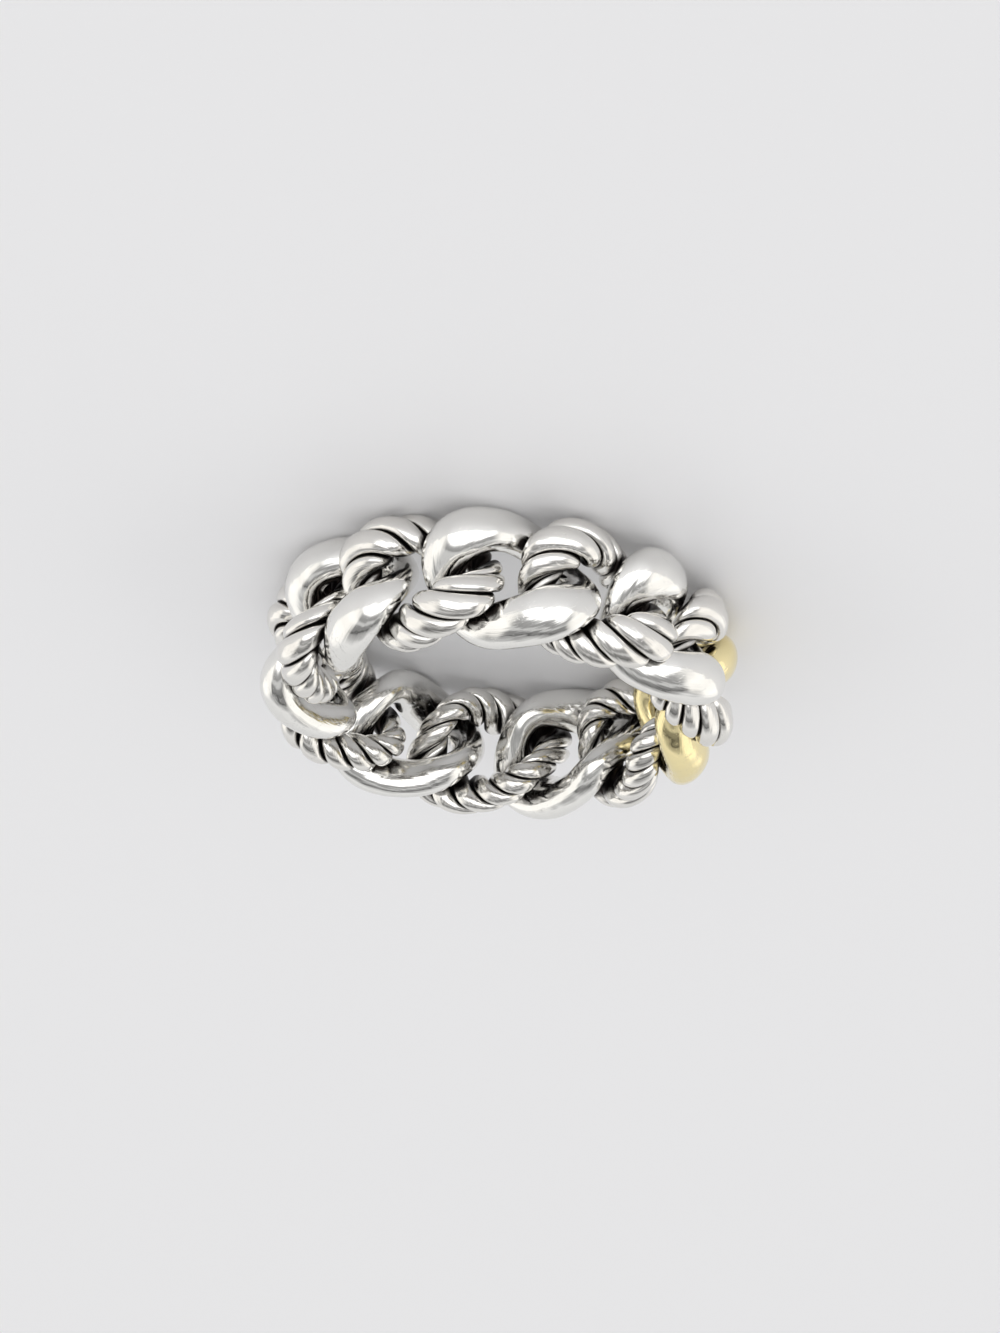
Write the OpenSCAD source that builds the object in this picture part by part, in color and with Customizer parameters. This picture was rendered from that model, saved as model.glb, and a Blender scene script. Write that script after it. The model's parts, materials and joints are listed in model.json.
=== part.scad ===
// Curb chain ring, lying on its side. Fourteen separate links pass through their neighbours and
// close into a band. Smooth links and rope links take turns, and one smooth link is gold.

/* [Ring] */
// Finger hole, between the innermost points of the links
inner_d = 17.4; // [17:0.1:20]

/* [Link] */
// Height of a link's centreline across the band
link_h = 5.3; // [5.3:0.1:5.8]
// How far a link's centreline rises and dips where it crosses its neighbours
weave = 1.2; // [1.2:0.05:1.5]
// Play between two link ends that pass each other
play = 0.1; // [0.1:0.05:0.2]

/* [Rope links] */
// Twist of the rope wire in one lap of its link, in edges of its section
rope_twist = 4; // [0:1:7]

/* [Hidden] */
NODES = [
    "smooth_link_1", "rope_link_1", "smooth_link_2", "rope_link_2", "smooth_link_3", "rope_link_3",
    "smooth_link_4", "rope_link_4", "smooth_link_5", "rope_link_5", "gold_link", "rope_link_6",
    "smooth_link_6", "rope_link_7"
];

// The wire's section at four stations of a lap, which the second half of the lap repeats
//    width, thickness, lean in degrees (the edge away from the link's middle turns inward)
WIRE = [
    [2.10, 1.50, -20], // end bend, through the neighbour
    [1.80, 1.90, 0],   // dip, under the neighbour
    [2.60, 2.00, 30],  // side, at the band's edge
    [2.80, 2.10, 0]    // rise, over the neighbour
];
WIDTH = 0;
THICK = 1;
LEAN = 2;
END = 0;
DIP = 1;
SIDE = 2;
RISE = 3;

STATIONS = 16;     // sections round a link
SMOOTH_EDGES = 6;  // edges of a smooth wire
ROPE_EDGES = 5;    // edges of a rope wire
FRONT = -90;       // direction of the first link

link_count = len(NODES);
middle_r = inner_d / 2 + weave + WIRE[DIP][THICK] / 2;
pitch = 2 * PI * middle_r / link_count;
link_l = pitch + WIRE[END][WIDTH] + play; // length of a link's centreline along the band
middle_z = half_height();                 // height of the band's middle over the floor

// A column of the wire table, blended smoothly round the lap
function blend(column, turn) =
    let (end = WIRE[END][column], dip = WIRE[DIP][column],
         side = WIRE[SIDE][column], rise = WIRE[RISE][column])
    (end + dip + side + rise) / 4
    + (end - side) / 2 * cos(2 * turn)
    + (dip - rise) / 2 * sin(2 * turn)
    + (end + side - dip - rise) / 4 * cos(4 * turn);

function unit(v) = v / norm(v);

// A link before it is bent round the ring: x along the band, y across it, z outward
function centreline(turn) = [link_l / 2 * cos(turn), link_h / 2 * sin(turn), -weave * sin(2 * turn)];
function heading(turn) =
    unit([-link_l / 2 * sin(turn), link_h / 2 * cos(turn), -2 * weave * cos(2 * turn)]);
function sideways(turn) = let (h = heading(turn)) unit([h[1], -h[0], 0]);
function upward(turn) = cross(sideways(turn), heading(turn));

// One corner of the wire's section, at an angle round the wire from the side away from the middle
function corner(turn, angle) =
    let (lean = blend(LEAN, turn),
         across = sideways(turn) * cos(lean) - upward(turn) * sin(lean),
         out = sideways(turn) * sin(lean) + upward(turn) * cos(lean))
    centreline(turn)
    + blend(WIDTH, turn) / 2 * cos(angle) * across
    + blend(THICK, turn) / 2 * sin(angle) * out;

function station_turn(i) = i * 360 / STATIONS;
function corner_angle(turn, e, edges, twist) = ((e + 0.5) * 360 - twist * turn) / edges;

// Half the height of a smooth link across the band, over its corners
function half_height() =
    max([for (i = [0 : STATIONS - 1], e = [0 : SMOOTH_EDGES - 1])
        corner(station_turn(i), corner_angle(0, e, SMOOTH_EDGES, 0))[1]]);

// Bends a point round the ring, at a link's place
function bent(p, place) =
    let (direction = FRONT + 360 * place / link_count + p[0] / middle_r * 180 / PI,
         r = middle_r + p[2])
    [r * cos(direction), r * sin(direction), middle_z + p[1]];

// One link: a closed loop of wire with this many edges, twisted by so many of them in a lap
module link(place, edges, twist) {
    points = [
        for (i = [0 : STATIONS - 1], e = [0 : edges - 1])
            bent(corner(station_turn(i), corner_angle(station_turn(i), e, edges, twist)), place)
    ];
    // Corner e of station i, which past the last station is a corner of the first
    function index(i, e) =
        i < STATIONS ? i * edges + (e + edges) % edges : (e - twist + 2 * edges) % edges;
    faces = [
        for (i = [0 : STATIONS - 1], e = [0 : edges - 1])
            each [
                [index(i, e), index(i, e + 1), index(i + 1, e)],
                [index(i, e + 1), index(i + 1, e + 1), index(i + 1, e)]
            ]
    ];
    polyhedron(points, faces, convexity = 6);
}

module smooth_link(place) {
    color("gainsboro") link(place, SMOOTH_EDGES, 0);
}

module rope_link(place) {
    color("darkgray") link(place, ROPE_EDGES, rope_twist);
}

module gold_link(place) {
    color("khaki") link(place, SMOOTH_EDGES, 0);
}

smooth_link(0);  // smooth_link_1
rope_link(1);  // rope_link_1
smooth_link(2);  // smooth_link_2
rope_link(3);  // rope_link_2
smooth_link(4);  // smooth_link_3
rope_link(5);  // rope_link_3
smooth_link(6);  // smooth_link_4
rope_link(7);  // rope_link_4
smooth_link(8);  // smooth_link_5
rope_link(9);  // rope_link_5
gold_link(10);
rope_link(11);  // rope_link_6
smooth_link(12);  // smooth_link_6
rope_link(13);  // rope_link_7
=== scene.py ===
# %% [markdown]
# A curb chain ring, dressed in Blender.
# The ring is a closed chain of fourteen separate links. Each link is a twisted oval of wire that
# passes through both of its neighbours. Smooth links and rope links take turns, and one smooth link
# is pale yellow gold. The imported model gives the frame: every piece made here takes the place of the
# plain solid of the same link, in metres, with the ring lying on its side and +Z up.

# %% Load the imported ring
import json
import math

import bpy
import numpy as np
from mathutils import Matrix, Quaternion, Vector
from mathutils.bvhtree import BVHTree


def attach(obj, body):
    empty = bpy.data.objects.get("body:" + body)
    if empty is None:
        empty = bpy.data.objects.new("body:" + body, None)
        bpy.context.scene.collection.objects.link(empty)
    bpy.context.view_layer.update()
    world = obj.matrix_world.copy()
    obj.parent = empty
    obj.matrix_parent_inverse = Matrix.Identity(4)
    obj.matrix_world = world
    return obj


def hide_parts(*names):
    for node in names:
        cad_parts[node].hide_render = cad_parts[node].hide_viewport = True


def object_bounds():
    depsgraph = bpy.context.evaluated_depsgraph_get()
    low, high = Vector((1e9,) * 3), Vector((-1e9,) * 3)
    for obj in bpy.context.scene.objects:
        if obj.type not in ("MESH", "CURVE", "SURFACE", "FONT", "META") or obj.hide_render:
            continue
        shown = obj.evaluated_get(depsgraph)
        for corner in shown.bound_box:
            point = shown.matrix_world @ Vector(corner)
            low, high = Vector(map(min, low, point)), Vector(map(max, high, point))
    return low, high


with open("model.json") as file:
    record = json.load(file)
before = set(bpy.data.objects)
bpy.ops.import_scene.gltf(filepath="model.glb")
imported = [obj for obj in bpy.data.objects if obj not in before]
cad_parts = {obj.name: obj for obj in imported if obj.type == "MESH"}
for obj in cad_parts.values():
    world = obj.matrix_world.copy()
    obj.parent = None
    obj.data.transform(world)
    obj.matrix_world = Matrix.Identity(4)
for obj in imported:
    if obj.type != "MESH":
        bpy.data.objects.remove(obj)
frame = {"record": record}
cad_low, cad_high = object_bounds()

MM = 0.001
links_in_order = [row["node"] for row in frame["record"]["subparts"]]
link_count = len(links_in_order)
print("links, from the front round the ring:", link_count)
print("solids' box in mm:", [round(v / MM, 2) for v in (*cad_low, *cad_high)])

# %% [markdown]
# The camera comes first, because every shape is judged from it. It looks down at the ring from the
# front at 26 degrees, from 192 mm away with a long lens, and it is rolled by a little under half a
# turn, so the ring's front link is at the top of the picture. A constraint could aim it, but would
# undo the roll. A quaternion that aims it, times one that rolls it about its own axis, keeps the two
# movements apart.

# %% Camera
camera_place = Vector((2.79, -172.31, 88.49)) * MM
camera_aim = Vector((0.01, -0.09, 3.70)) * MM
camera_roll = math.radians(-175.06)
focal_length_px = 3475.4
picture_height_px = 1333
sensor_mm = 36
nearest, farthest = 0.005, 20  # metres that the camera sees

camera_data = bpy.data.cameras.new("camera")
camera_data.sensor_width = sensor_mm
camera_data.lens = focal_length_px * sensor_mm / picture_height_px
camera_data.clip_start, camera_data.clip_end = nearest, farthest
camera = bpy.data.objects.new("camera", camera_data)
camera.location = camera_place
camera.rotation_mode = "QUATERNION"
upright = (camera_aim - camera_place).to_track_quat("-Z", "Y")
camera.rotation_quaternion = upright @ Quaternion((0, 0, 1), camera_roll)
bpy.context.scene.collection.objects.link(camera)
bpy.context.scene.camera = camera
print("lens in mm:", round(camera_data.lens, 1))

# %% [markdown]
# A curb link starts as an oval of wire and is then twisted, so that it lies flat against its
# neighbours: its wire rises over one neighbour and dips under the other. The centreline is an oval
# with a wave of that height. The wire is fat along the band's edges and over the neighbour, and slim
# where it bends through it, because a real link is forged or cast that way to make room. A curve
# with a bevel has one section all along it, so the surface is worked out point by point instead.

# %% Sizes of a link, in mm
finger_hole = 17.4     # diameter between the innermost points of the links
half_height = 2.65     # of a link's centreline, across the band
weave = 1.2            # rise and dip of the centreline
play = 0.1             # between two link ends that pass each other
# The wire's stations are its end bend, dip, side and rise
wire_width = np.array([2.10, 1.80, 2.60, 2.80])
wire_thickness = np.array([1.50, 1.90, 2.00, 2.10])
wire_lean = np.array([-20.0, 0.0, 30.0, 0.0])  # degrees
end_bend, dip = 0, 1

middle_r = finger_hole / 2 + weave + wire_thickness[dip] / 2
middle_z = (cad_low[2] + cad_high[2]) / 2 / MM
pitch = 2 * math.pi * middle_r / link_count
half_length = (pitch + wire_width[end_bend] + play) / 2
print("band's middle, from the axis and over the floor, mm:", middle_r, round(middle_z, 3))
print("pitch of the links, mm:", round(pitch, 3))
print("half length of a link's centreline, mm:", round(half_length, 3))

# %% [markdown]
# A forged wire swells and thins without a step. Straight blends between the four stations would
# leave a crease at each of them, and polished metal shows a crease at once. A few cosines pass
# smoothly through all four. The second half of a link repeats the first, so they run twice in a lap.

# %% A size between the wire's stations
def around(stations, turn):
    """A size of the wire, blended smoothly through its four stations, twice in a lap."""
    at_end, at_dip, at_side, at_rise = stations
    return (
        (at_end + at_dip + at_side + at_rise) / 4
        + (at_end - at_side) / 2 * np.cos(2 * turn)
        + (at_dip - at_rise) / 2 * np.sin(2 * turn)
        + (at_end + at_side - at_dip - at_rise) / 4 * np.cos(4 * turn)
    )


between_end_and_dip = float(around(wire_width, math.pi / 8))
print("wire's width between the end bend and the dip, mm:", round(between_end_and_dip, 2))

# %% [markdown]
# A wire is a row of sections along the centreline. Each section needs two directions across the
# wire: one in the plane of the band, and one outward from it. They turn by the wire's lean, which
# rolls the fat sides towards the band's edges. Blender can carry a section along a path by itself,
# but then it chooses how the section turns, and here the section has to follow the band.

# %% Sections of a straight link
def unit(vectors):
    """Vectors of length 1 in the same directions."""
    return vectors / np.linalg.norm(vectors, axis=-1, keepdims=True)


def wire_axes(turn):
    """The centreline, and the two directions across the wire, at these angles round the lap."""
    sin, cos = np.sin(turn), np.cos(turn)
    centre = np.stack([half_length * cos, half_height * sin, -weave * np.sin(2 * turn)], -1)
    slope = np.stack([-half_length * sin, half_height * cos, -2 * weave * np.cos(2 * turn)], -1)
    heading = unit(slope)
    sideways = unit(np.stack([heading[:, 1], -heading[:, 0], 0 * turn], -1))
    upward = np.cross(sideways, heading)
    lean = np.radians(around(wire_lean, turn))[:, None]
    across = sideways * np.cos(lean) - upward * np.sin(lean)
    out = sideways * np.sin(lean) + upward * np.cos(lean)
    return centre, across, out


def wire_surface(turn, angle, radius):
    """Points of a straight link. angle and radius, a share of the section, have a row for each turn."""
    centre, across, out = wire_axes(turn)
    width = around(wire_width, turn)[:, None] / 2 * np.cos(angle) * radius
    thickness = around(wire_thickness, turn)[:, None] / 2 * np.sin(angle) * radius
    return centre[:, None] + width[..., None] * across[:, None] + thickness[..., None] * out[:, None]


at_rise_and_dip = wire_axes(np.array([-math.pi / 4, math.pi / 4]))[0]
print("middle of the wire at a rise and a dip, mm:", at_rise_and_dip.round(2).tolist())

# %% [markdown]
# A link is worked out lying straight, with x along the band, y across it and z outward, where its
# formulas are short. Then it is bent round the ring: its place along the band becomes an angle, and
# its height over the band is added to the radius. All the links come from the same two steps.

# %% Bend a link round the ring
front_direction = -90  # degrees, where the first link is


def bent_round(points, place):
    """Bends a straight link round the ring, at its place from the front, and turns mm to metres."""
    direction = math.radians(front_direction + 360 * place / link_count) + points[..., 0] / middle_r
    r = middle_r + points[..., 2]
    return np.stack([r * np.cos(direction), r * np.sin(direction), middle_z + points[..., 1]], -1) * MM


print("middle of the first link, mm:", (bent_round(np.zeros(3), 0) / MM).round(2).tolist())

# %% [markdown]
# Even steps of the lap aren't even steps along the wire. Whatever is laid along it evenly, such as
# strands and streaks, needs to know what share of the wire's length lies before each section.

# %% Length along the wire
measuring_steps = 400


def turns_of(count):
    """Even steps of one whole turn."""
    return np.arange(count) / count * 2 * math.pi


def lap_shares(turn):
    """Share of the wire's length that lies before each turn, and the whole length."""
    centre = wire_axes(np.append(turn, turn[0]))[0]
    steps = np.linalg.norm(np.diff(centre, axis=0), axis=1)
    return np.append(0, np.cumsum(steps)[:-1]) / steps.sum(), steps.sum()


print("wire in a link, mm:", round(float(lap_shares(turns_of(measuring_steps))[1]), 2))

# %% [markdown]
# No two hand-finished links are the same: the buffing wheel leaves shallow waves that make the
# reflections wander. Ten slow cosine waves round the wire, about a hundredth of its radius high in
# all, give each link its own. They repeat a whole number of times in a lap, so they leave no seam.

# %% Hand-finished waves
wave_height = 0.013  # as a share of the wire's radius
wave_count = 10
most_along = 8       # crests of a wave in a lap of the link
most_round = 3       # crests of a wave round the wire, either way


def buffing_waves(turn, angle, seed):
    """Slow waves over the wire, as a share of its radius."""
    draw = np.random.default_rng(seed)
    waves = 0 * (turn + angle)
    for _ in range(wave_count):
        along = draw.integers(1, most_along + 1)
        round_wire = draw.integers(-most_round, most_round + 1)
        waves += np.cos(along * turn + round_wire * angle + draw.uniform(0, 2 * math.pi))
    return wave_height * waves / math.sqrt(wave_count)


print("height of the waves, mm:", round(float(wave_height * wire_width.max() / 2), 3))

# %% [markdown]
# A smooth link is one bare wire. Its skin is a grid, with a row of points round each section.
# Polished metal shows every facet in what it mirrors, so the points lie about 0.1 mm apart. The same
# skin could be had from a coarse cage and a subdivision surface, which shrinks it by an amount that
# is harder to know, and the links pass each other too closely for that.

# %% Grid of a smooth link
smooth_stations, smooth_columns = 200, 60


def smooth_grid(seed):
    """Points of a smooth link, in mm and before it is bent: a row for each station of the wire."""
    turn = turns_of(smooth_stations)
    angle = turns_of(smooth_columns)[None] + 0 * turn[:, None]
    return wire_surface(turn, angle, 1 + buffing_waves(turn[:, None], angle, seed))


print("points in a smooth link:", smooth_stations * smooth_columns)

# %% [markdown]
# The rope links are made of three round strands laid round each other, each about 1 mm thick. Three
# swept curves would cut through each other where they touch. Instead, one skin covers all three. A
# cut across the rope meets every strand at a slant, so its outline is three wide ovals that touch,
# with a deep groove between them.

# %% Outline of a rope
strands = 3
strand_slant = 1.35     # width of a strand's cut, for a height of 1
strand_depth = 0.90     # depth of the grooves, as a share of that between whole ovals
strand_overlap = 0.015  # how far two strands press into each other, as a share of their place
columns_per_strand = 34
groove_gather = 0.6     # how much closer the columns lie near the grooves, from 0 to 1


def strand_outline():
    """Angle and radius of each column round the rope, closer together near the grooves."""
    step = np.arange(columns_per_strand) / columns_per_strand
    gathered = groove_gather * (0.5 - 0.5 * np.cos(math.pi * step)) + (1 - groove_gather) * step
    within = (gathered - 0.5) * 2 * math.pi / strands
    # How far a ray from the rope's middle reaches to the far side of an oval of half height 1
    half = math.pi / strands
    middle = math.hypot(math.sin(half), strand_slant * math.cos(half)) / math.sin(half)
    middle *= 1 - strand_overlap
    flat = np.cos(within) ** 2 + (np.sin(within) / strand_slant) ** 2
    inside = np.maximum((middle * np.cos(within)) ** 2 - flat * (middle**2 - 1), 0)
    reach = (middle * np.cos(within) + np.sqrt(inside)) / flat
    radius = 1 - (1 - reach / (middle + 1)) * strand_depth
    angle = np.concatenate([within + start for start in turns_of(strands)])
    return angle, np.tile(radius, strands)


print("groove's radius as a share of the wire's:", round(float(strand_outline()[1].min()), 3))

# %% [markdown]
# The outline turns as it goes along the wire. The mesh columns turn with it and follow the strands,
# so a groove is one clean line of points and not a jagged step across the mesh. The rope makes a
# whole number of turns in a lap of the link, so that every strand meets its own start.

# %% Grid of a rope link
rope_turns = 5  # in one lap of the link
rope_stations = 420


def rope_grid(seed):
    """Points of a rope link, in the same form as a smooth link's."""
    turn = turns_of(rope_stations)
    column_angle, column_radius = strand_outline()
    angle = column_angle[None] - 2 * math.pi * rope_turns * lap_shares(turn)[0][:, None]
    radius = column_radius[None] * (1 + buffing_waves(turn[:, None], angle, seed))
    return wire_surface(turn, angle, radius)


grid_of = {"smooth": smooth_grid, "rope": rope_grid}
print("points in a rope link:", rope_stations * strands * columns_per_strand)

# %% [markdown]
# Buffing and wear leave streaks along the wire, and along the strands of a rope. A flat layout of
# the wire would show a seam where its edges meet. So each point keeps its place on a plain round
# hoop of wire instead: two numbers for the place along the hoop, which closes without a seam, and
# two for the place on its round section. On the hoop a rope's strands lie straight, so whatever is
# drawn along the hoop follows them.

# %% Places on a plain hoop of wire, in mm
hoop_wire_radius = wire_width.mean() / 2


def plain_hoop(stations, column_angles):
    """Three of the four numbers for each point of a grid, as a vector, and the last one by itself."""
    share, length = lap_shares(turns_of(stations))
    lap = np.repeat(2 * math.pi * share, len(column_angles))
    section = np.tile(column_angles, stations)
    hoop_radius = length / (2 * math.pi)
    along = [hoop_radius * np.cos(lap), hoop_radius * np.sin(lap)]
    vector = np.stack([*along, hoop_wire_radius * np.cos(section)], -1)
    return vector, hoop_wire_radius * np.sin(section)


hoop_places = {
    "smooth": plain_hoop(smooth_stations, turns_of(smooth_columns)),
    "rope": plain_hoop(rope_stations, strand_outline()[0]),
}
print("radius of the hoop's wire, mm:", round(float(hoop_wire_radius), 2))

# %% [markdown]
# A grid of points becomes a mesh of four-sided faces. It closes both ways: the last station meets
# the first one, and the last column too, so the mesh has no open edge anywhere. A closed mesh has a
# volume, and a volume over 0 tells that its faces look outward.

# %% Faces and normals of a closed loop
def grid_faces(stations, columns):
    """The corners of each face, as numbers of the grid's points."""
    i, j = np.meshgrid(np.arange(stations), np.arange(columns), indexing="ij")
    next_i, next_j = (i + 1) % stations, (j + 1) % columns
    corners = [(i, j), (next_i, j), (next_i, next_j), (i, next_j)]
    return np.stack([row * columns + column for row, column in corners], -1).reshape(-1, 4)


def grid_normals(points):
    """Outward direction at each point of a grid."""
    along = np.roll(points, -1, 0) - np.roll(points, 1, 0)
    round_wire = np.roll(points, -1, 1) - np.roll(points, 1, 1)
    return unit(np.cross(along, round_wire))


def volume(points, faces):
    """Volume inside a closed mesh of four-sided faces."""
    a, b, c, d = (points[faces[:, k]] for k in range(4))
    return (np.cross(a, b) * c).sum() / 6 + (np.cross(a, c) * d).sum() / 6


for kind, make_grid in grid_of.items():
    grid = make_grid(seed=0)
    in_mm3 = volume(grid.reshape(-1, 3), grid_faces(*grid.shape[:2]))
    print(kind, "link's volume in mm3:", round(float(in_mm3), 1))

# %% [markdown]
# Silver darkens where a polishing cloth can't reach, and jewellers blacken such places on purpose.
# Shade falls in the same narrow places, and the materials paint it into the colour too. So each
# point of the surface gets one number: how open it is. Short rays go out from it to all sides, and
# the number is the share of them that meets no wire. Blender's ambient occlusion node finds such
# places too, but it sends its rays anew for each pixel of each render. A number on the mesh is
# worked out once and stays with the link.

# %% Rays from a point
open_rays = 40
tilted = [0.31, 0.52, 0.79]  # any direction will do, if no point's normal lies along it


def ray_fan(normals):
    """Directions spread over the half space outside each point, more of them near its normal."""
    number = np.arange(open_rays)
    away = np.sqrt((number + 0.5) / open_rays)
    spin = number * math.pi * (3 - math.sqrt(5))
    side = unit(np.cross(normals, tilted))
    third = np.cross(normals, side)
    return (
        (away * np.cos(spin))[:, None] * side[:, None]
        + (away * np.sin(spin))[:, None] * third[:, None]
        + np.sqrt(1 - away**2)[:, None] * normals[:, None]
    )


print("rays from each point:", ray_fan(np.array([[0.0, 0.0, 1.0]])).shape[1])

# %% [markdown]
# The rays are as long as a cloth needs, so only narrow places count as closed: the places of
# tarnish and of painted shade. They meet the link itself and its nearest neighbours. Links of a
# kind lie the same way among their neighbours, so this is worked out once for each kind.

# %% How open the surface is
open_reach = 0.9 * MM
start_off = 0.03 * MM  # a ray starts this far from its point, so as not to meet its own face
neighbours = 2         # on either side


def openness(kind, place):
    """The share of clear rays at each point of the link at this place."""
    corners, faces, count = [], [], 0
    for near in range(place - neighbours, place + neighbours + 1):
        grid = grid_of["rope" if near % 2 else "smooth"](seed=0)
        corners.append(bent_round(grid, near).reshape(-1, 3))
        faces.append(grid_faces(*grid.shape[:2]) + count)
        count += len(corners[-1])
    ring = BVHTree.FromPolygons(np.concatenate(corners).tolist(), np.concatenate(faces).tolist())
    points = bent_round(grid_of[kind](seed=0), place)
    normals = grid_normals(points).reshape(-1, 3)
    starts = points.reshape(-1, 3) + normals * start_off
    clear = np.empty(len(starts))
    for n, (start, fan) in enumerate(zip(starts.tolist(), ray_fan(normals).tolist())):
        clear[n] = sum(ring.ray_cast(start, ray, open_reach)[0] is None for ray in fan)
    return clear / open_rays


open_share = {"smooth": openness("smooth", 0), "rope": openness("rope", 1)}
for kind, share in open_share.items():
    print(kind, "link: least, middle and most open:", np.round(np.quantile(share, [0, 0.5, 1]), 2))

# %% [markdown]
# Colours are written as hex values, as a designer would name them, and Blender works with linear
# light. One function turns the one into the other. A second one adds a shader node with its
# settings and links. The colour sockets of a Mix node share their names with its other sockets, so
# those are given by number.

# %% Helpers for the materials
def linear(hex_colour):
    """An sRGB hex colour as linear red, green, blue and alpha."""
    shares = [int(hex_colour[k : k + 2], 16) / 255 for k in (1, 3, 5)]
    return [s / 12.92 if s <= 0.04045 else ((s + 0.055) / 1.055) ** 2.4 for s in shares] + [1.0]


def add_node(tree, kind, inputs=(), **settings):
    """Adds a shader node. inputs are (socket, value or another node's output) pairs."""
    made = tree.nodes.new("ShaderNode" + kind)
    for name, value in settings.items():
        setattr(made, name, value)
    for socket, value in inputs:
        if isinstance(value, bpy.types.NodeSocket):
            tree.links.new(value, made.inputs[socket])
        else:
            made.inputs[socket].default_value = value
    return made


def new_material(name):
    """A new material and its main shader."""
    made = bpy.data.materials.new(name)
    made.use_nodes = True
    return made, made.node_tree.nodes["Principled BSDF"]


print("middle grey, linear:", round(linear("#808080")[0], 3))

# %% [markdown]
# Worn metal is scratched finely. Scratches could be painted in a picture that is wrapped round the
# wire. A noise that is stretched into dashes gives them with no picture and no seam. The mapping is
# of the texture type, because that one turns the noise before it is stretched. The point type
# stretches first, and then every scratch lies the same way, however it is turned.

# %% Scratches in one direction
scratch_width = 0.07 * MM  # real ones are finer; these are as coarse as they need to show
scratch_length = 1.6 * MM
scratch_edge, scratch_middle = 0.66, 0.76  # the noise there


def scratches(tree, place, turned):
    """A mask of short fine dashes: the peaks of a noise that is turned and stretched."""
    stretched = add_node(tree, "Mapping", [
        ("Vector", place),
        ("Rotation", turned),
        ("Scale", (scratch_width, scratch_length, scratch_width)),
    ], vector_type="TEXTURE")
    grain = add_node(tree, "TexNoise", [("Vector", stretched.outputs["Vector"]), ("Scale", 1.0)])
    dashes = add_node(tree, "MapRange", [
        ("Value", grain.outputs["Fac"]), ("From Min", scratch_edge), ("From Max", scratch_middle),
    ])
    return dashes.outputs["Result"]


print("a scratch's length over its width:", round(scratch_length / scratch_width, 1))

# %% [markdown]
# A ring knocks against things at random, but not everywhere: some patches are well worn and others
# are nearly new. Scratches in two directions cross each other, and a slow noise picks the patches.

# %% Patches of wear
scratch_turns = ((0.5, 0.2, 0.9), (1.1, 0.8, -0.7))  # how each set lies, in radians
patch_size = 3.0 * MM
patch_edge, patch_middle = 0.45, 0.65  # the noise there


def worn_patches(tree, place):
    """A mask of crossing scratches, in patches."""
    one_way, other_way = (scratches(tree, place, turned) for turned in scratch_turns)
    crossing = add_node(tree, "Math", [(0, one_way), (1, other_way)], operation="MAXIMUM")
    slow = add_node(tree, "TexNoise", [("Vector", place), ("Scale", 1 / patch_size), ("Detail", 2.0)])
    patches = add_node(tree, "MapRange", [
        ("Value", slow.outputs["Fac"]), ("From Min", patch_edge), ("From Max", patch_middle),
    ])
    return add_node(tree, "Math", [
        (0, crossing.outputs[0]), (1, patches.outputs["Result"]),
    ], operation="MULTIPLY").outputs[0]


print("sets of scratches:", len(scratch_turns))

# %% [markdown]
# The buffing wheel runs along the wire and leaves faint streaks that way. They are a noise too, long
# along the wire and narrow across it. A place on the plain hoop has four numbers, so the noise has
# four dimensions: three numbers go in as its vector and the last one as its W.

# %% Polishing streaks
streak_length = 3.5  # mm, as the hoop is
streak_width = 0.30  # mm


def polishing_streaks(tree):
    """A noise that is long along the wire and narrow across it."""
    hoop = add_node(tree, "Attribute", attribute_name="hoop").outputs["Vector"]
    hoop_last = add_node(tree, "Attribute", attribute_name="hoop_across").outputs["Fac"]
    pulled = add_node(tree, "Mapping", [
        ("Vector", hoop), ("Scale", (1 / streak_length, 1 / streak_length, 1 / streak_width)),
    ])
    narrowed = add_node(tree, "Math", [(0, hoop_last), (1, 1 / streak_width)], operation="MULTIPLY")
    return add_node(tree, "TexNoise", [
        ("Vector", pulled.outputs["Vector"]), ("W", narrowed.outputs[0]), ("Scale", 1.0),
        ("Detail", 3.0), ("Roughness", 0.55),
    ], noise_dimensions="4D").outputs["Fac"]


print("a streak's length over its width:", round(streak_length / streak_width, 1))

# %% [markdown]
# Streaks and scratches break up the edges of what the metal mirrors, and shallow knocks bend it
# slowly. Both are too small to be worth faces of their own, so they are bumps, one on top of the
# other. They are drawn a little higher than real ones, so that they show.

# %% Relief of worn metal
streak_height = 0.03 * MM
scratch_depth = 0.3   # as a share of the streaks' height
knock_size = 1.4 * MM
knock_depth = 0.10 * MM


def worn_relief(tree, place, worn):
    """The surface's normal, with streaks, scratches and shallow knocks."""
    marks = add_node(tree, "Math", [
        (0, worn), (1, -scratch_depth), (2, polishing_streaks(tree)),
    ], operation="MULTIPLY_ADD")
    fine = add_node(tree, "Bump", [
        ("Height", marks.outputs[0]), ("Strength", 1.0), ("Distance", streak_height),
    ])
    knocks = add_node(tree, "TexNoise", [("Vector", place), ("Scale", 1 / knock_size), ("Detail", 1.0)])
    return add_node(tree, "Bump", [
        ("Height", knocks.outputs["Fac"]), ("Strength", 1.0), ("Distance", knock_depth),
        ("Normal", fine.outputs["Normal"]),
    ]).outputs["Normal"]


print("knocks across a fat wire:", round(float(wire_width.max() * MM / knock_size), 1))

# %% [markdown]
# A cloth, and the fingers beside the ring, rub the open metal clean, and tarnish stays in the
# narrow places. Shade falls in the same places, and this mask paints it into the colour as well.
# The openness that each mesh carries says where. Real tarnish ends in ragged patches and not in
# an even line, so a blotchy noise moves the border a little.

# %% Where metal is rubbed clean, and where shade is painted
blotch_size = 0.9 * MM
blotch_reach = 0.08  # how far the blotches move the border, in openness


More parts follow.
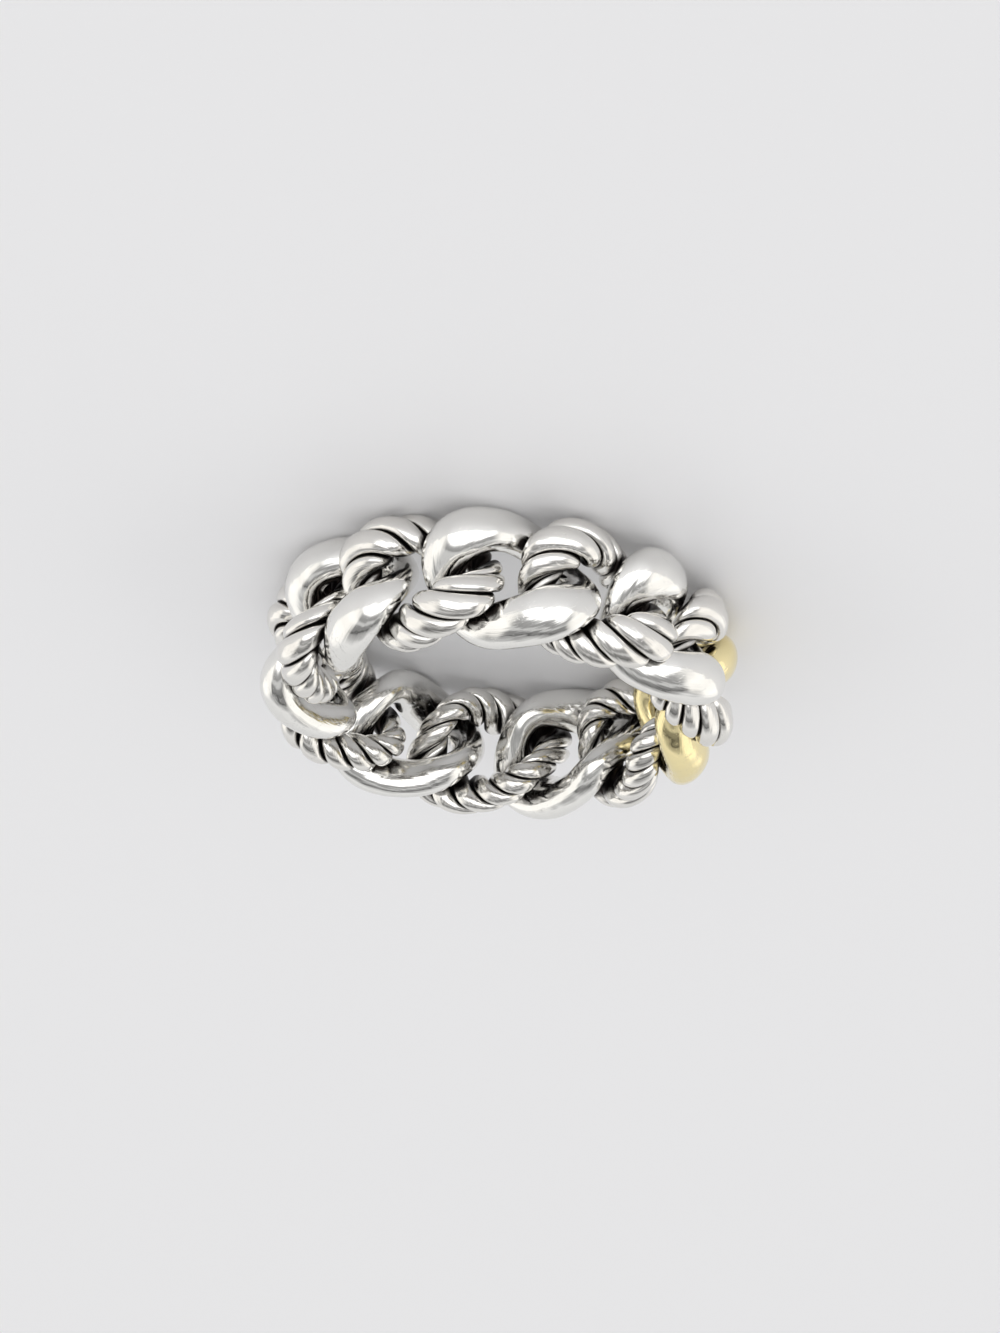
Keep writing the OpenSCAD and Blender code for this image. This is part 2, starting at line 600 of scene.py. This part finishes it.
def rubbed_clean_and_unshaded(tree, place, clean_and_lit_from, clean_and_lit_full):
    """Tarnish and painted shade mask: 0 under clean_and_lit_from openness, 1 over clean_and_lit_full.
    """
    opened = add_node(tree, "Attribute", attribute_name="openness").outputs["Fac"]
    blotches = add_node(tree, "TexNoise", [
        ("Vector", place), ("Scale", 1 / blotch_size), ("Detail", 3.0), ("Roughness", 0.6),
    ])
    wander = add_node(tree, "Math", [
        (0, blotches.outputs["Fac"]), (1, 2 * blotch_reach), (2, -blotch_reach),
    ], operation="MULTIPLY_ADD")
    uneven = add_node(tree, "Math", [(0, opened), (1, wander.outputs[0])], operation="ADD")
    return add_node(tree, "MapRange", [
        ("Value", uneven.outputs[0]), ("From Min", clean_and_lit_from), ("From Max", clean_and_lit_full),
    ], interpolation_type="SMOOTHSTEP").outputs["Result"]


print("blotches across a fat wire:", round(float(wire_width.max() * MM / blotch_size), 1))

# %% [markdown]
# Both metals of the ring were cast, filed and then buffed on a wheel, which leaves a soft gloss
# rather than a perfect mirror. Scratches and tarnish are duller. One function makes this finish, and
# the metals differ in their colours and in how much of them is painted dark in the narrow places,
# for tarnish and as painted shade.

# %% Buffed metal
buffed_roughness = 0.12
tarnished_roughness = 0.42
scratch_roughness = 0.15  # added in a scratch


def buffed_metal(name, bright, tarnish_and_shade, clean_and_lit_from, clean_and_lit_full):
    """A buffed metal: bright where open, with tarnish and painted shade in the narrow places."""
    made, shader = new_material(name)
    tree = made.node_tree
    place = add_node(tree, "TexCoord").outputs["Object"]
    clean_and_lit = rubbed_clean_and_unshaded(tree, place, clean_and_lit_from, clean_and_lit_full)
    # Painted shade and tarnish: narrow places get the darker colour, open ones the bright one.
    colour = add_node(tree, "Mix", [
        ("Factor", clean_and_lit), (6, linear(tarnish_and_shade)), (7, linear(bright)),
    ], data_type="RGBA")
    tree.links.new(colour.outputs[2], shader.inputs["Base Color"])
    shader.inputs["Metallic"].default_value = 1.0

    worn = worn_patches(tree, place)
    gloss = add_node(tree, "MapRange", [
        ("Value", clean_and_lit), ("To Min", tarnished_roughness), ("To Max", buffed_roughness),
    ])
    rough = add_node(tree, "Math", [
        (0, worn), (1, scratch_roughness), (2, gloss.outputs["Result"]),
    ], operation="MULTIPLY_ADD")
    tree.links.new(rough.outputs[0], shader.inputs["Roughness"])
    tree.links.new(worn_relief(tree, place, worn), shader.inputs["Normal"])
    return made


print("roughness, buffed and tarnished:", buffed_roughness, tarnished_roughness)

# %% [markdown]
# Sterling silver is almost colourless and mirrors the room. The smooth links are clean nearly all
# over; only where they are pinched between their neighbours are they painted brown-black, as
# painted shade and a little tarnish. The rope links were blackened on purpose and polished again on
# top, and their grooves are painted dark both for that blackening and as painted shade, so the dark
# grooves draw the strands.

# %% Polished sterling silver and blackened rope silver, with painted shade in narrow places
polished_silver = buffed_metal(
    "polished_sterling_silver",
    bright="#ecebe8", tarnish_and_shade="#3a322e", clean_and_lit_from=0.02, clean_and_lit_full=0.22,
)
blackened_and_shaded_silver = buffed_metal(
    "blackened_and_shaded_rope_silver",
    bright="#e6e4e0", tarnish_and_shade="#2e2927", clean_and_lit_from=0.38, clean_and_lit_full=0.76,
)
print("materials:", polished_silver.name, blackened_and_shaded_silver.name)

# %% [markdown]
# The gold link is a pale yellow alloy with much silver in it, buffed like the smooth silver links.
# Gold doesn't tarnish, so the darker yellow where it is pinched between its neighbours is painted
# shade, for the light that they block and bounce there.

# %% Polished pale yellow gold
pale_gold = buffed_metal(
    "polished_pale_yellow_gold",
    bright="#f4e5b2", tarnish_and_shade="#8f7a46", clean_and_lit_from=0.02, clean_and_lit_full=0.22,
)
print("material:", pale_gold.name)

# %% [markdown]
# Each link is a mesh object of its own, with its own waves. It carries its openness and its places
# on the hoop as attributes, which the materials read. It rides on the ring's one body and takes the
# place of the plain solid of the same name.

# %% Make the links
finishes = {
    "smooth": (polished_silver, "smooth_silver"),
    "rope": (blackened_and_shaded_silver, "rope_silver"),
    "gold": (pale_gold, "gold"),
}


def make_link(place, node):
    """The finished wire of one link, at its place from the front."""
    kind = "rope" if node.startswith("rope") else "smooth"
    grid = grid_of[kind](seed=place + 1)
    mesh = bpy.data.meshes.new(node + "_wire")
    points = bent_round(grid, place).reshape(-1, 3)
    mesh.from_pydata(points.tolist(), [], grid_faces(*grid.shape[:2]).tolist())
    mesh.attributes.new("openness", "FLOAT", "POINT").data.foreach_set("value", open_share[kind])
    vectors, last_numbers = hoop_places[kind]
    mesh.attributes.new("hoop", "FLOAT_VECTOR", "POINT").data.foreach_set("vector", vectors.ravel())
    mesh.attributes.new("hoop_across", "FLOAT", "POINT").data.foreach_set("value", last_numbers)
    mesh.polygons.foreach_set("use_smooth", [True] * len(mesh.polygons))
    material, slot = finishes["gold" if node == "gold_link" else kind]
    mesh.materials.append(material)
    link = bpy.data.objects.new(node + "_wire", mesh)
    bpy.context.scene.collection.objects.link(link)
    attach(link, "root")
    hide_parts(node)
    return link


wires = [make_link(place, node) for place, node in enumerate(links_in_order)]
print("triangles:", sum(2 * len(wire.data.polygons) for wire in wires))

# %% [markdown]
# A pale painted board carries the ring. It is large, because polished metal mirrors it out to the
# horizon. Its satin paint shines at a low angle, which softens the edge between the mirrored board
# and the mirrored window.

# %% Floor
board_half = 4.0        # metres, half of its side
board_roughness = 0.40  # satin
board_corners = ((-1, -1), (1, -1), (1, 1), (-1, 1))
floor_z = min(min(vertex.co.z for vertex in wire.data.vertices) for wire in wires)

board_mesh = bpy.data.meshes.new("board")
board_mesh.from_pydata(
    [(x * board_half, y * board_half, floor_z) for x, y in board_corners], [], [(0, 1, 2, 3)],
)
painted_board, board_shader = new_material("satin_painted_board")
board_shader.inputs["Base Color"].default_value = linear("#ededef")
board_shader.inputs["Roughness"].default_value = board_roughness
board_mesh.materials.append(painted_board)
board = bpy.data.objects.new("board", board_mesh)
bpy.context.scene.collection.objects.link(board)
print("floor under the links, mm:", round(floor_z / MM, 3))

# %% [markdown]
# Polished metal shows its surroundings more than its own colour, so the room is painted for what
# the ring should mirror: a bright low window in front for the white bands, a grey ceiling with one
# paler strip in it for the soft shades beside them, one dark bar overhead for a thin line along
# every strand, and a bright wall behind for the thin light along the inner edges. All of it is
# soft, as in a light tent. Area lamps could do the same, one for each patch, but a ramp over the
# direction is a single list that is easy to tune.

# %% Bands of the light tent
room = bpy.data.worlds.new("light_tent")
room.use_nodes = True
bpy.context.scene.world = room
tent = room.node_tree
# Brightness by how far back a direction points, from -1 at the front to 1 at the back
tent_bands = [
    (-1.00, 1.00), (-0.76, 1.00), (-0.66, 0.26), (-0.46, 0.17), (-0.38, 0.38), (-0.28, 0.38),
    (-0.18, 0.15), (0.00, 0.15), (0.03, 0.05), (0.08, 0.05), (0.12, 0.22), (0.30, 0.30),
    (0.48, 0.50), (1.00, 0.42),
]
towards = add_node(tent, "SeparateXYZ", [(0, add_node(tent, "TexCoord").outputs["Generated"])])
back = add_node(tent, "MapRange", [("Value", towards.outputs["Y"]), ("From Min", -1.0)])
bands = add_node(tent, "ValToRGB", [("Fac", back.outputs["Result"])])
ramp = bands.color_ramp
while len(ramp.elements) < len(tent_bands):
    ramp.elements.new(0.5)
for element, (y, brightness) in zip(ramp.elements, tent_bands):
    element.position = (y + 1) / 2
    element.color = (brightness, brightness, brightness, 1)
print("bands of the light tent:", len(tent_bands))

# %% [markdown]
# The bands run over the top from side to side. Left and right of the ring, where they come down to
# the floor, they would be mirrored as hard stripes. So there they fade into plain warm white cloth.
# The view transform is Standard, which keeps the whites of polished metal white.

# %% Sides of the light tent
tent_strength = 1.8
side_from, side_full = 0.60, 0.85  # how far sideways a direction points there
side_share = 0.8                   # of the cloth's colour, at the sides

sideways_share = add_node(tent, "Math", [(0, towards.outputs["X"])], operation="ABSOLUTE")
at_sides = add_node(tent, "MapRange", [
    ("Value", sideways_share.outputs[0]), ("From Min", side_from), ("From Max", side_full),
    ("To Max", side_share),
], interpolation_type="SMOOTHSTEP")
mixed = add_node(tent, "Mix", [
    ("Factor", at_sides.outputs["Result"]), (6, bands.outputs["Color"]), (7, linear("#e6e4e0")),
], data_type="RGBA")
backdrop = tent.nodes["Background"]
tent.links.new(mixed.outputs[2], backdrop.inputs["Color"])
backdrop.inputs["Strength"].default_value = tent_strength
bpy.context.scene.view_settings.view_transform = "Standard"
print("strength of the tent:", tent_strength)

# %% [markdown]
# The tent alone would leave the board grey. A broad lamp overhead lifts it, as a lit table does
# under small jewellery. The metal doesn't mirror this lamp.

# %% Lamp for the board
lamp_data = bpy.data.lights.new("board_lamp", "SUN")
lamp_data.energy = 0.50  # watts on a square metre
lamp_data.angle = 1.2    # radians across, for a very soft shadow
lamp = bpy.data.objects.new("board_lamp", lamp_data)
lamp.visible_glossy = False
bpy.context.scene.collection.objects.link(lamp)
print("lamp:", lamp.name)
